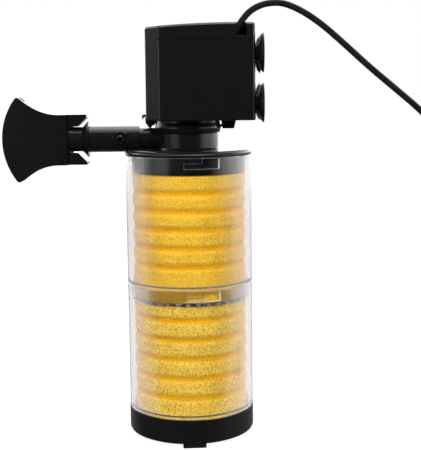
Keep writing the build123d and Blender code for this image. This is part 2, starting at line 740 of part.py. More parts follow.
def coil_windings():
    """The copper on each bobbin."""
    out = []
    for side in (-1, 1):
        y0, y1 = sorted((side * LEG_Y0, side * LEG_Y1))
        wall = BOBBIN_WALL
        reach = wall + WINDING_T
        x0, x1 = BOBBIN_X0 + 1.2, BOBBIN_X1 - 1.2
        outer = box(x0, x1, y0 - reach, y1 + reach, STACK_Z0 - reach, STACK_Z1 + reach)
        inner = box(x0 - 1, x1 + 1, y0 - wall, y1 + wall, STACK_Z0 - wall, STACK_Z1 + wall)
        out.append(outer - inner)
    return out


def motor_potting():
    """Cast resin round the core and the lower part of the coils."""
    floor_z = HEAD_Z + HEAD_FLOOR_T
    body = head_block(HEAD_WALL, floor_z, POTTING_Z)
    body -= disc(WELL_R, floor_z - 1, POTTING_Z + 1)
    reach = BOBBIN_WALL + WINDING_T + 0.6
    body -= box(-15, YOKE_X1, -LEG_Y1, LEG_Y1, STACK_Z0, POTTING_Z + 1)
    body -= box(BOBBIN_X0, BOBBIN_X1, -LEG_Y1 - reach, LEG_Y1 + reach, STACK_Z0 - reach, POTTING_Z + 1)
    body -= cup_sockets()
    return body


def cord_path(points):
    """Straight runs joined by arcs, each as large as its two runs allow. Prints the radii."""
    points = [Vector(*p) for p in points]
    radii = []
    for a, b, c in zip(points, points[1:], points[2:]):
        turn = math.radians((b - a).get_angle(c - b))
        shorter = min((b - a).length, (c - b).length)
        radii.append(0.45 * shorter / math.tan(turn / 2))
    print("radii", [round(r, 1) for r in radii])
    return FilletPolyline(*points, radius=radii)


def round_cord(points, diameter):
    """A round solid along a cord path. Prints how its volume compares with its section times its length."""
    path = cord_path(points)
    section = Plane(origin=path @ 0, z_dir=path % 0) * Circle(diameter / 2)
    solid = sweep(section, path=path)
    expected = math.pi * diameter**2 / 4 * path.length
    print(f"cord length {path.length:.1f} volume ratio {solid.volume / expected:.4f}")
    return solid


LEAD_ROUTES = (
    [
        (27.3, -30.9, 307.6),
        (24.0, -30.0, 303.6),
        (20.8, -25.0, 299.6),
        (19.8, -19.6, 295.4),
        (20.0, -15.0, 290.4),
    ],
    [
        (29.4, -29.4, 306.6),
        (29.2, -26.4, 303.8),
        (28.8, -18.6, 301.2),
        (28.6, -9.0, 300.4),
        (28.0, 0.0, 299.0),
        (26.4, 7.6, 295.8),
        (25.0, 12.0, 290.4),
    ],
)


def lead_wires():
    """Two insulated leads inside the housing, from the strain relief to the windings."""
    return [round_cord(route, 1.6) for route in LEAD_ROUTES]


CORD_ROUTE = [
    (40.5, -30.5, 325.3),
    (44.4, -30.5, 331.1),
    (49.7, -30.4, 335.9),
    (56.0, -30.2, 339.2),
    (63.4, -29.9, 341.0),
    (73.5, -29.4, 341.0),
    (87.0, -28.6, 337.2),
    (102.0, -27.5, 328.3),
    (118.5, -26.0, 314.6),
    (139.0, -24.0, 295.9),
    (160.5, -22.0, 277.6),
    (182.0, -20.0, 259.0),
    (200.0, -19.0, 238.0),
    (211.0, -20.0, 210.0),
    (215.0, -23.0, 176.0),
    (213.5, -27.0, 142.0),
    (208.5, -31.0, 108.0),
    (204.5, -34.5, 76.0),
    (202.6, -36.0, 48.0),
    (202.5, -36.0, 27.3),
    (202.5, -31.4, 16.3),
    (202.5, -23.0, 7.9),
    (202.6, -12.0, 3.3),
    (202.5, 0.0, 3.3),
]


def power_cord():
    """The cord from the strain relief to the coil."""
    return round_cord(CORD_ROUTE, CORD_D)


def cord_coil():
    """The put-away turns as one ring: four turns on the floor and two on top."""
    half = CORD_D / 2
    inner = COIL_TURN_R[0] - half
    outer = COIL_TURN_R[-1] + half
    ring = turned(
        [
            (inner, COIL_LIFT),
            (outer, COIL_LIFT),
            (outer, COIL_LIFT + CORD_D),
            (outer - 5.5, COIL_LIFT + CORD_D + 3.0),
            (outer - 7.5, COIL_LIFT + 9.4),
            (inner + 2.0, COIL_LIFT + 9.4),
            (inner, COIL_LIFT + 6.0),
        ]
    )
    return Pos(COIL_X, 0, 0) * ring


TAIL_ROUTE = [
    (225.0, -26.6, 7.8),
    (215.4, -19.6, 8.3),
    (210.6, -9.4, 9.6),
    (210.6, 1.6, 11.6),
    (214.8, 11.8, 14.0),
    (223.4, 19.4, 16.2),
    (235.0, 22.0, 17.4),
]


def cord_tail():
    """The cord from the top turn of the coil to the plug."""
    return round_cord(TAIL_ROUTE, CORD_D)


def cord_tie():
    """A strap round the bundle of turns."""
    low, high = COIL_LIFT, COIL_LIFT + 9.6
    inner = COIL_TURN_R[0] - CORD_D / 2 - 0.6
    outer = COIL_TURN_R[-1] + CORD_D / 2 + 0.5
    wall = COIL_LIFT
    strap = box(inner - wall, outer + wall, -3, 3, low - wall, high + wall)
    strap -= box(inner, outer, -4, 4, low, high)
    return Pos(COIL_X, 0, 0) * Rot(0, 0, TIE_DEG) * strap


def plug_body():
    """Flat two-pin plug: a body that widens to its face and a tapered tail."""
    plan = [
        (PLUG_BODY_X, PLUG_Y - 7.0),
        (PLUG_FACE_X - 9.0, PLUG_Y - PLUG_HALF_W),
        (PLUG_FACE_X, PLUG_Y - PLUG_HALF_W),
        (PLUG_FACE_X, PLUG_Y + PLUG_HALF_W),
        (PLUG_FACE_X - 9.0, PLUG_Y + PLUG_HALF_W),
        (PLUG_BODY_X, PLUG_Y + 7.0),
    ]
    body = prism_z(plan, PLUG_Z - PLUG_HALF_T, PLUG_Z + PLUG_HALF_T)
    body = fillet(body.edges().filter_by(Axis.Z), 2.5)
    tail = turned_x(
        [(PLUG_REAR_X, 0), (PLUG_REAR_X, 3.6), (PLUG_BODY_X + 1, 5.0), (PLUG_BODY_X + 1, 0)], PLUG_Y, PLUG_Z
    )
    return body + tail


def plug_pins():
    """Two round pins."""
    return [
        bar_x(PLUG_PIN_R, PLUG_FACE_X, PLUG_FACE_X + PLUG_PIN_L, PLUG_Y + side * PLUG_PIN_SPACING / 2, PLUG_Z)
        for side in (-1, 1)
    ]


SPONGES = {
    "upper_sponge": (UPPER_Z - SPIGOT_H + FLOOR_T, LID_Z - LID_SKIRT_H - SPONGE_PLAY, 141.7, 14.2, 5),
    "lower_sponge": (LOWER_Z - SPIGOT_H + FLOOR_T, UPPER_Z - SPIGOT_H - SPONGE_PLAY, 38.6, 15.4, 5),
}

PARTS = {
    "bottom_cap": bottom_cap,
    "lower_canister": lambda: canister(LOWER_Z),
    "upper_canister": lambda: canister(UPPER_Z),
    "lower_sponge": lambda: sponge(*SPONGES["lower_sponge"]),
    "upper_sponge": lambda: sponge(*SPONGES["upper_sponge"]),
    "canister_lid": canister_lid,
    "volute_cover": volute_cover,
    "latch_lever": latch_lever,
    "outlet_pipe": outlet_pipe,
    "air_nipple": air_nipple,
    "nozzle_collar": nozzle_collar,
    "pivot_pins": pivot_pins,
    "fan_nozzle": fan_nozzle,
    "pump_housing": pump_housing,
    "housing_lid": housing_lid,
    "cord_gland": cord_gland,
    "rotor_magnet": rotor_magnet,
    "impeller": impeller,
    "rotor_shaft": rotor_shaft,
    "lower_bush": lambda: bush(LOWER_BUSH_Z, LOWER_BUSH_Z + 3.0, 3.5),
    "upper_bush": lambda: bush(295.5, 299.5, 4.0),
    "stator_core": stator_core,
    "coil_bobbins": coil_bobbins,
    "coil_windings": coil_windings,
    "motor_potting": motor_potting,
    "lead_wires": lead_wires,
    "power_cord": power_cord,
    "cord_coil": cord_coil,
    "cord_tail": cord_tail,
    "cord_tie": cord_tie,
    "plug_body": plug_body,
    "plug_pins": plug_pins,
}
for side, y in (("front", -CUP_Y), ("rear", CUP_Y)):
    for level, z in (("lower", CUP_Z[0]), ("upper", CUP_Z[1])):
        PARTS[f"cup_{side}_{level}"] = lambda y=y, z=z: suction_cup(y, z)

for name, make in PARTS.items():
    shape = make()
    solids = shape if isinstance(shape, list) else shape.solids()
    export_step(Compound(children=list(solids)), f"parts/{name}.step")
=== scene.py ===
"""Looks for the two-stage internal power filter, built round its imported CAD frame. Metres, +Z up."""

import json
import math

import bmesh
import bpy
from mathutils import Matrix, Vector, noise


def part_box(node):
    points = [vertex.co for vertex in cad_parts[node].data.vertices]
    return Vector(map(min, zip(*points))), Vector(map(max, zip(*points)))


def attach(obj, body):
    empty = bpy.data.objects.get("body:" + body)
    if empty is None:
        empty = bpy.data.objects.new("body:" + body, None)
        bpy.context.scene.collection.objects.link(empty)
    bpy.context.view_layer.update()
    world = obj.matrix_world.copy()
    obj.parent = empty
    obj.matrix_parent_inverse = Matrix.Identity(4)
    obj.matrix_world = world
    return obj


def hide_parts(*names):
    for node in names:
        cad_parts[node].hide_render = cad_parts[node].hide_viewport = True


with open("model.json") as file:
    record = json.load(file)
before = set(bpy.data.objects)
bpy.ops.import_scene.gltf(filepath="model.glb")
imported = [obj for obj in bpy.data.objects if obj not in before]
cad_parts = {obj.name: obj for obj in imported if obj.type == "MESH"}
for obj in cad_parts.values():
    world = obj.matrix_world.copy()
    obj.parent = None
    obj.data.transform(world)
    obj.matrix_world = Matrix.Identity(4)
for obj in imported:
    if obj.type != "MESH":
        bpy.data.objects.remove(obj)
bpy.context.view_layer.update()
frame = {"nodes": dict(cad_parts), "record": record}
scene = bpy.context.scene

MM = 0.001

# ---- camera -----------------------------------------------------------------------------------------
CAMERA_PLACE = Vector((0.017, -0.814, 0.2824))
CAMERA_PITCH_DEG = -7.96
CAMERA_ROLL_DEG = -0.63
CAMERA_LENS_MM = 81.8

# ---- mains cord -------------------------------------------------------------------------------------
CORD_W = 5.0 * MM
CORD_T = 3.2 * MM
CORD_SIDES = 20
CORD_GROOVE = 0.10  # depth of the groove between the cores, as a share of a core's radius
CORD_GROOVE_W = 0.22 * CORD_T
COIL_X = 239.0 * MM
COIL_OUTER_R = 36.5 * MM
COIL_INNER_R = 21.0 * MM
COIL_LOW_TURNS = 3.0
COIL_TOP_TURNS = 1.83
COIL_TOP_OUTER_R = 30.0 * MM
COIL_POINTS_PER_TURN = 16
LAYER_LOW_Z = 3.3 * MM
LAYER_TOP_Z = 7.3 * MM
CLIMB_POINTS = 4

CORD_ROUTE_MM = [
    (40.5, -30.5, 325.3),
    (44.4, -30.5, 331.1),
    (49.7, -30.4, 335.9),
    (56.0, -30.2, 339.2),
    (63.4, -29.9, 341.0),
    (73.5, -29.4, 341.0),
    (87.0, -28.6, 335.4),
    (102.0, -27.5, 325.6),
    (118.5, -26.0, 311.6),
    (139.0, -24.0, 293.2),
    (160.5, -22.0, 275.6),
    (182.0, -20.0, 257.8),
    (200.0, -19.0, 238.0),
    (211.0, -20.0, 210.0),
    (215.0, -23.0, 176.0),
    (213.5, -27.0, 142.0),
    (208.5, -31.0, 108.0),
    (204.5, -34.5, 76.0),
    (202.6, -36.0, 48.0),
    (202.5, -36.0, 27.3),
    (202.5, -31.4, 16.3),
    (202.5, -23.0, 7.9),
    (202.6, -12.0, 3.3),
]

TAIL_ROUTE_MM = [
    (225.0, -26.6, 7.8),
    (215.4, -19.6, 8.3),
    (210.6, -9.4, 9.6),
    (210.6, 1.6, 11.6),
    (214.8, 11.8, 14.0),
    (223.4, 19.4, 16.2),
    (235.0, 22.0, 17.4),
]

# ---- canisters and foam -----------------------------------------------------------------------------
BODY_R = 50.0 * MM
BORE_R = 47.8 * MM
SPIGOT_R = 47.4 * MM
SPIGOT_BORE_R = 45.5 * MM
SPIGOT_H = 12.6 * MM
SPIGOT_CHAMFER = 1.2 * MM
SPIGOT_BORE_CHAMFER = 0.6 * MM
FLOOR_T = 2.0 * MM
SHOULDER_IN_Z = 1.0 * MM
SHOULDER_OUT_Z = 3.0 * MM
LOWER_WALL_H = 12.0 * MM
WALL_EDGE = 0.35 * MM
RIM_GAP = 0.15 * MM
LUG_R = 49.2 * MM
LUG_H = 3.4 * MM
LUG_DROP = 8.0 * MM
LUG_DEG = 15.0
LUG_FLANK = 0.08 * MM
SLOT_PLAY = 0.35 * MM
LUG_PITCH_DEG = 120.0
LEG_START_DEG = -92.9
LEG_DEG = 16
CHANNEL_DEG = 16
HUB_R = 12.0 * MM
INNER_SLOT_END_R = 26.0 * MM
INNER_SLOT_DEG = 8
INNER_SLOT_PITCH_DEG = 30
OUTER_SLOT_START_R = 30.0 * MM
OUTER_SLOT_DEG = 4
OUTER_SLOT_PITCH_DEG = 10
CANISTER_SIDES = 360

SPONGE_R = 45.0 * MM
SPONGE_BORE_R = 8.0 * MM
SPONGE_EDGE_IN = 1.0 * MM
SPONGE_EDGE_H = 1.6 * MM
GROOVE_DEPTH = 1.5 * MM
GROOVE_HALF_FLAT = 0.6 * MM
GROOVE_HALF_OPEN = 4.2 * MM
SPONGE_GRID = 0.8 * MM
SPONGE_END_GRID = 2.0 * MM
PORE = 1.5 * MM
PORE_DEPTH = 0.42 * MM
PORE_SPREAD = 1.6
UPPER_FIRST_GROOVE = 27.95 * MM
UPPER_PITCH = 14.2 * MM
LOWER_FIRST_GROOVE = 26.6 * MM
LOWER_PITCH = 15.4 * MM
GROOVES = 5
GROOVE_R = SPONGE_R - GROOVE_DEPTH

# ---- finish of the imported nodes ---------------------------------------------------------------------
EDGE_ROUND = 0.25 * MM
EDGE_FROM_DEG = 35.0

# ---- studio: each lobe is a direction, the cosines where it starts and is full, and its strength ----
STUDIO_DIM = 0.04
STUDIO_LOBES = [
    ((0.0, 0.0, 1.0), 0.8, 1.0, 2.0),
    ((0.0, 1.0, 0.0), 0.1, 0.8, 3.0),
    ((1.0, 0.0, 0.0), 0.65, 1.0, 3.0),
    ((-1.0, 0.0, 0.0), 0.65, 1.0, 0.35),
    ((-0.77, -0.64, 0.0), 0.94, 0.99, 1.3),
]


# ---- camera and stage -------------------------------------------------------------------------------
def make_camera():
    """The camera, a little right of the middle, looking slightly down at the front."""
    data = bpy.data.cameras.new("camera")
    data.lens = CAMERA_LENS_MM
    data.sensor_width = 36.0
    data.sensor_fit = "AUTO"
    data.clip_start = 0.05
    data.clip_end = 20.0
    cam = bpy.data.objects.new("camera", data)
    scene.collection.objects.link(cam)
    look = Matrix.Rotation(math.radians(90 + CAMERA_PITCH_DEG), 4, "X")
    roll = Matrix.Rotation(math.radians(CAMERA_ROLL_DEG), 4, "Z")
    cam.matrix_world = Matrix.Translation(CAMERA_PLACE) @ look @ roll
    scene.camera = cam


# ---- node helpers -----------------------------------------------------------------------------------
def node(tree, kind, inputs=None, **settings):
    """A shader node with its settings and its unlinked input values."""
    made = tree.nodes.new(kind)
    for key, value in settings.items():
        setattr(made, key, value)
    for key, value in (inputs or {}).items():
        made.inputs[key].default_value = value
    return made


def new_material(name):
    """An empty node material with its Principled shader: (material, tree, shader)."""
    mat = bpy.data.materials.new(name)
    mat.use_nodes = True
    tree = mat.node_tree
    tree.nodes.clear()
    out = node(tree, "ShaderNodeOutputMaterial")
    shader = node(tree, "ShaderNodeBsdfPrincipled")
    tree.links.new(shader.outputs["BSDF"], out.inputs["Surface"])
    return mat, tree, shader


def object_coords(tree):
    """The object's own coordinates, in metres."""
    return node(tree, "ShaderNodeTexCoord").outputs["Object"]


def noise_value(tree, coords, scale, detail=3.0, rough=0.6):
    """Noise of a number of cycles per metre."""
    tex = node(tree, "ShaderNodeTexNoise", {"Scale": scale, "Detail": detail, "Roughness": rough})
    tree.links.new(coords, tex.inputs["Vector"])
    return tex.outputs["Fac"]


def ramp(tree, value, stops):
    """A colour ramp over (place, grey or colour) stops."""
    made = node(tree, "ShaderNodeValToRGB")
    elements = made.color_ramp.elements
    for i, (place, colour) in enumerate(stops):
        element = elements[i] if i < 2 else elements.new(place)
        element.position = place
        rgb = colour if isinstance(colour, tuple) else (colour, colour, colour)
        element.color = (*rgb, 1.0)
    tree.links.new(value, made.inputs["Fac"])
    return made.outputs["Color"]


def math_value(tree, operation, a, b):
    """The result of a maths node over two values, each a socket or a number."""
    made = node(tree, "ShaderNodeMath", operation=operation)
    for socket, value in zip(made.inputs, (a, b)):
        if isinstance(value, bpy.types.NodeSocket):
            tree.links.new(value, socket)
        else:
            socket.default_value = value
    return made.outputs["Value"]


def bump(tree, shader, height, distance, strength=1.0):
    """Gives a shader bump of a height in metres."""
    made = node(tree, "ShaderNodeBump", {"Strength": strength, "Distance": distance})
    tree.links.new(height, made.inputs["Height"])
    tree.links.new(made.outputs["Normal"], shader.inputs["Normal"])


def colour_and_gloss(tree, shader, value, colours, roughs):
    """Links a value to a shader's colour and roughness, through the low and high ends of each."""
    low, high = colours
    tree.links.new(ramp(tree, value, [(0.3, low), (0.7, high)]), shader.inputs["Base Color"])
    low, high = roughs
    tree.links.new(ramp(tree, value, [(0.3, low), (0.7, high)]), shader.inputs["Roughness"])


# ---- materials --------------------------------------------------------------------------------------
def black_plastic(name, shade=0.0036, rough=0.22, grain=4e-6, grain_scale=2600.0):
    """Moulded black plastic: a very slight mottling, a fine grain and an even gloss."""
    mat, tree, shader = new_material(name)
    coords = object_coords(tree)
    broad = noise_value(tree, coords, 60.0, 4.0)
    fine = noise_value(tree, coords, grain_scale, 2.0)
    low = tuple(shade * c for c in (0.93, 0.93, 0.95))
    high = tuple(shade * c for c in (1.08, 1.08, 1.10))
    colour_and_gloss(tree, shader, broad, (low, high), (rough * 0.96, rough * 1.06))
    shader.inputs["IOR"].default_value = 1.48
    bump(tree, shader, fine, grain)
    return mat


def clear_plastic(name):
    """Clear styrene: polished, with a faint cool tint, moulding ripples, and a haze at a slant."""
    mat, tree, shader = new_material(name)
    coords = object_coords(tree)
    ripple = noise_value(tree, coords, 30.0, 2.0)
    scuff = noise_value(tree, coords, 500.0, 4.0)
    slant = node(tree, "ShaderNodeLayerWeight", {"Blend": 0.5})
    haze = ramp(tree, slant.outputs["Facing"], [(0.15, 1.0), (0.55, 0.8), (0.97, 0.6)])
    tree.links.new(haze, shader.inputs["Transmission Weight"])
    shader.inputs["IOR"].default_value = 1.46
    tint = ramp(tree, ripple, [(0.3, (0.915, 0.90, 0.925)), (0.7, (0.935, 0.92, 0.94))])
    tree.links.new(tint, shader.inputs["Base Color"])
    tree.links.new(ramp(tree, scuff, [(0.45, 0.02), (0.8, 0.08)]), shader.inputs["Roughness"])
    bump(tree, shader, ripple, 3e-5, 0.5)
    return mat


def axis_distance(tree, coords):
    """The distance from the canister's axis, in metres."""
    flat = node(tree, "ShaderNodeVectorMath", {1: (1.0, 1.0, 0.0)}, operation="MULTIPLY")
    tree.links.new(coords, flat.inputs[0])
    length = node(tree, "ShaderNodeVectorMath", operation="LENGTH")
    tree.links.new(flat.outputs["Vector"], length.inputs[0])
    return length.outputs["Value"]


def foam(name, dark=(0.87, 0.44, 0.008), light=(0.98, 0.66, 0.07)):
    """Yellow open-cell foam: small pore mouths painted darker, as shade in the pores, between lighter
    struts, and a painted shade of deeper orange in its grooves.
    """
    mat, tree, shader = new_material(name)
    coords = object_coords(tree)
    cells = node(tree, "ShaderNodeTexVoronoi", {"Scale": 640.0, "Randomness": 1.0}, feature="F1")
    tree.links.new(coords, cells.inputs["Vector"])
    fine = noise_value(tree, coords, 1500.0, 3.0)
    pores = math_value(tree, "ADD", cells.outputs["Distance"], fine)
    # Partly painted shade: the cell pattern is the foam's own texture, and its pore mouths take the first,
    # darker colour as shade in the pores, while the struts take the lighter one.
    skin = ramp(tree, pores, [(0.55, dark), (0.85, (0.95, 0.53, 0.014)), (1.25, light)])
    # Painted shade: the nearer the foam lies to a groove floor, the more it is mixed toward a deeper
    # orange, as shade that falls in the grooves.
    span = {"From Min": GROOVE_R, "From Max": SPONGE_R - PORE_DEPTH, "To Min": 1.0, "To Max": 0.0}
    depth = node(tree, "ShaderNodeMapRange", span)
    tree.links.new(axis_distance(tree, coords), depth.inputs["Value"])
    groove_shade_mix = node(tree, "ShaderNodeMix", {"B": (0.95, 0.50, 0.010, 1.0)}, data_type="RGBA")
    tree.links.new(depth.outputs["Result"], groove_shade_mix.inputs["Factor"])
    tree.links.new(skin, groove_shade_mix.inputs["A"])
    tree.links.new(groove_shade_mix.outputs["Result"], shader.inputs["Base Color"])
    rough = ramp(tree, fine, [(0.3, 0.85), (0.7, 0.95)])
    tree.links.new(rough, shader.inputs["Roughness"])
    shader.inputs["Specular IOR Level"].default_value = 0.1
    bump(tree, shader, pores, 5e-4, 0.7)
    return mat


def frosted_edge(name):
    """The ground-looking white of a cut edge of clear styrene."""
    mat, tree, shader = new_material(name)
    coords = object_coords(tree)
    value = noise_value(tree, coords, 900.0, 3.0)
    colours = (0.45, 0.45, 0.47), (0.6, 0.6, 0.62)
    colour_and_gloss(tree, shader, value, colours, (0.2, 0.35))
    bump(tree, shader, value, 1e-5)
    return mat


def rubber(name, shade=0.016, rough=0.5):
    """Matte rubber or soft vinyl with a light bloom."""
    mat, tree, shader = new_material(name)
    coords = object_coords(tree)
    broad = noise_value(tree, coords, 140.0, 5.0)
    fine = noise_value(tree, coords, 1800.0, 3.0)
    colour = ramp(tree, broad, [(0.3, shade * 0.8), (0.75, shade * 1.4)])
    tree.links.new(colour, shader.inputs["Base Color"])
    gloss = ramp(tree, broad, [(0.3, rough * 0.9), (0.7, rough * 1.15)])
    tree.links.new(gloss, shader.inputs["Roughness"])
    bump(tree, shader, fine, 3e-6)
    return mat


def metal(name, colour, rough=0.3, scale=900.0):
    """Plain metal with fine drawn marks."""
    mat, tree, shader = new_material(name)
    coords = object_coords(tree)
    value = noise_value(tree, coords, scale, 4.0)
    low = tuple(c * 0.85 for c in colour)
    colour_and_gloss(tree, shader, value, (low, colour), (rough * 0.8, rough * 1.3))
    shader.inputs["Metallic"].default_value = 1.0
    bump(tree, shader, value, 4e-6)
    return mat


def light_plastic(name, colour, rough=0.45):
    """Pale moulded plastic or ceramic."""
    mat, tree, shader = new_material(name)
    coords = object_coords(tree)
    value = noise_value(tree, coords, 300.0, 4.0)
    low = tuple(c * 0.9 for c in colour)
    colour_and_gloss(tree, shader, value, (low, colour), (rough * 0.9, rough * 1.2))
    bump(tree, shader, value, 1e-5)
    return mat


MATERIALS = {
    "black_plastic": black_plastic("black_plastic"),
    "clear_plastic": clear_plastic("clear_plastic"),
    "yellow_foam": foam("yellow_foam"),
    "ferrite": light_plastic("ferrite", (0.05, 0.05, 0.055), 0.6),
    "white_plastic": light_plastic("white_plastic", (0.75, 0.75, 0.72)),
    "ceramic_shaft": light_plastic("ceramic_shaft", (0.8, 0.79, 0.75), 0.2),
    "black_rubber": rubber("black_rubber", 0.004, 0.4),
    "electrical_steel": metal("electrical_steel", (0.35, 0.35, 0.37), 0.4),
    "copper_wire": metal("copper_wire", (0.75, 0.3, 0.12), 0.3, 1500.0),
    "resin": light_plastic("resin", (0.05, 0.05, 0.055), 0.35),
    "cord_sheath": rubber("cord_sheath", 0.005, 0.35),
    "tie_strap": light_plastic("tie_strap", (0.8, 0.8, 0.78), 0.4),
    "plated_brass": metal("plated_brass", (0.75, 0.73, 0.68), 0.2),
}
# The coarse foam's first colour is the painted shade in its pore mouths.
COARSE_FOAM = foam("yellow_foam_coarse", (0.52, 0.23, 0.002), (1.0, 0.74, 0.13))
FROSTED_EDGE = frosted_edge("clear_plastic_edge")


# ---- mesh helpers -----------------------------------------------------------------------------------
def add_piece(name, verts, faces, body, slot, replaced=(), sharp_deg=35.0, frosted=()):
    """A smooth-shaded mesh piece that rides on a body; frosted lists its faces with a cut edge's look."""
    mesh = bpy.data.meshes.new(name)
    mesh.from_pydata([tuple(v) for v in verts], [], faces)
    for i in frosted:
        mesh.polygons[i].material_index = 1
    work = bmesh.new()
    work.from_mesh(mesh)
    bmesh.ops.remove_doubles(work, verts=work.verts, dist=1e-6)
    bmesh.ops.dissolve_degenerate(work, edges=work.edges, dist=1e-7)
    bmesh.ops.recalc_face_normals(work, faces=work.faces)
    work.to_mesh(mesh)
    work.free()
    mesh.polygons.foreach_set("use_smooth", [True] * len(mesh.polygons))
    mesh.set_sharp_from_angle(angle=math.radians(sharp_deg))
    obj = bpy.data.objects.new(name, mesh)
    scene.collection.objects.link(obj)
    obj.data.materials.append(MATERIALS[slot])
    if frosted:
        obj.data.materials.append(FROSTED_EDGE)
    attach(obj, body)
    if replaced:
        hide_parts(*replaced)
    return obj


# ---- canisters --------------------------------------------------------------------------------------
def in_span(angle, start, width):
    """Whether an angle is in one of the three equal spans round the axis."""
    return (angle - start) % LUG_PITCH_DEG < width


def canister_rows(base, top):
    """(kind, outer point, inner point) of each profile row, from the floor's middle to the rim."""
    floor = base - SPIGOT_H
    deck = floor + FLOOR_T
    lug0 = base - LUG_DROP
    lug1 = lug0 + LUG_H
    bore = SPIGOT_BORE_R
    corner = SPIGOT_BORE_CHAMFER
    leg0 = top - LUG_DROP - SLOT_PLAY
    leg1 = top - LUG_DROP + LUG_H + SLOT_PLAY
    return [
        ("inner_slot", (HUB_R, floor), (HUB_R, deck)),
        ("web", (INNER_SLOT_END_R, floor), (INNER_SLOT_END_R, deck)),
        ("outer_slot", (OUTER_SLOT_START_R, floor), (OUTER_SLOT_START_R, deck)),
        ("wall", (SPIGOT_R - SPIGOT_CHAMFER, floor), (bore - corner, deck)),
        ("wall", (SPIGOT_R, floor + SPIGOT_CHAMFER), (bore, deck + corner)),
        ("wall", (SPIGOT_R, lug0 - LUG_FLANK), (bore, lug0 - LUG_FLANK)),
        ("lug", (SPIGOT_R, lug0), (bore, lug0)),
        ("lug", (SPIGOT_R, lug1), (bore, lug1)),
        ("wall", (SPIGOT_R, lug1 + LUG_FLANK), (bore, lug1 + LUG_FLANK)),
        ("wall", (SPIGOT_R, base), (bore, base + corner)),
        ("wall", (BODY_R - WALL_EDGE, base), (bore, base + SHOULDER_IN_Z)),
        ("wall", (BODY_R, base + WALL_EDGE), (BORE_R, base + SHOULDER_OUT_Z)),
        ("wall", (BODY_R, base + LOWER_WALL_H), (BORE_R, base + LOWER_WALL_H)),
        ("leg", (BODY_R, leg0), (BORE_R, leg0)),
        ("channel", (BODY_R, leg1), (BORE_R, leg1)),
        ("wall", (BODY_R, top - WALL_EDGE), (BORE_R, top - WALL_EDGE)),
        ("wall", (BODY_R - WALL_EDGE, top), (BORE_R + WALL_EDGE, top)),
    ]


def is_open(kind, angle):
    """Whether the cell that starts at a row and an angle is cut out."""
    past = angle - LEG_START_DEG
    if kind == "inner_slot":
        return past % INNER_SLOT_PITCH_DEG < INNER_SLOT_DEG
    if kind == "outer_slot":
        return past % OUTER_SLOT_PITCH_DEG < OUTER_SLOT_DEG
    if kind == "leg":
        return in_span(angle, LEG_START_DEG, LEG_DEG + CHANNEL_DEG)
    if kind == "channel":
        return in_span(angle, LEG_START_DEG + LEG_DEG, CHANNEL_DEG)
    return False


def canister_verts(rows, angles):
    """An outer and an inner ring of points for each row; the outer one steps out along a lug."""
    verts = []
    half_step = (angles[1] - angles[0]) / 2
    for kind, outer, inner in rows:
        for radius, z in (outer, inner):
            for angle in angles:
                lugged = kind == "lug" and in_span(angle, LEG_START_DEG + half_step, LUG_DEG)
                r = LUG_R if lugged and radius == SPIGOT_R else radius
                turn = math.radians(angle)
                verts.append((r * math.cos(turn), r * math.sin(turn), z))
    return verts


def canister_faces(rows, angles):
    """Skins of the solid cells, the walls round the open ones, and the numbers of the frosted faces."""
    count = len(angles)
    last = len(rows) - 1
    solid = {(j, k): not is_open(rows[j][0], angles[k]) for j in range(last) for k in range(count)}

    def at(row, side, k):
        return (2 * row + side) * count + k % count

    faces = [tuple(at(0, side, k) for k in range(count)) for side in (0, 1)]
    for j, k in (cell for cell, filled in solid.items() if filled):
        for side in (0, 1):
            faces.append((at(j, side, k), at(j, side, k + 1), at(j + 1, side, k + 1), at(j + 1, side, k)))
    frosted = []
    for (j, k), filled in solid.items():
        first = len(faces)
        below = solid[j - 1, k] if j else True
        if filled != solid[j, (k + 1) % count]:
            faces.append((at(j, 0, k + 1), at(j, 1, k + 1), at(j + 1, 1, k + 1), at(j + 1, 0, k + 1)))
        if filled != below:
            faces.append((at(j, 0, k), at(j, 1, k), at(j, 1, k + 1), at(j, 0, k + 1)))
        if j == last - 1 and filled:
            faces.append((at(j + 1, 0, k), at(j + 1, 1, k), at(j + 1, 1, k + 1), at(j + 1, 0, k + 1)))
        if j and {rows[j][0], rows[j - 1][0]} & {"leg", "channel", "outer_slot"}:
            frosted += range(first, len(faces))
    return faces, frosted


def make_canister(name, replaced, body):
    """A clear cup: wall, shoulder, spigot with a slotted floor, lugs below and L slots at the rim."""
    low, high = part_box(replaced)
    rows = canister_rows(low[2] + SPIGOT_H, high[2] - RIM_GAP)
    angles = [LEG_START_DEG + 360.0 / CANISTER_SIDES * k for k in range(CANISTER_SIDES)]
    faces, frosted = canister_faces(rows, angles)
    add_piece(
        name, canister_verts(rows, angles), faces, body, "clear_plastic", [replaced], frosted=frosted
    )


# ---- foam -------------------------------------------------------------------------------------------
def groove_depth(z, first, pitch):
    """How deep the foam's wavy side is at a height above its foot, from 0 to 1."""
    nearest = min(abs(z - first - pitch * i) for i in range(GROOVES))
    rise = (GROOVE_HALF_OPEN - nearest) / (GROOVE_HALF_OPEN - GROOVE_HALF_FLAT)
    rise = min(max(rise, 0.0), 1.0)
    return rise * rise * (3 - 2 * rise)


def pore_dent(place):
    """The inward dent of a point of foam, largest in the middle of a pore."""
    distance = noise.voronoi(place / PORE)[0][0]
    return PORE_DEPTH * max(0.0, 1.0 - PORE_SPREAD * distance)


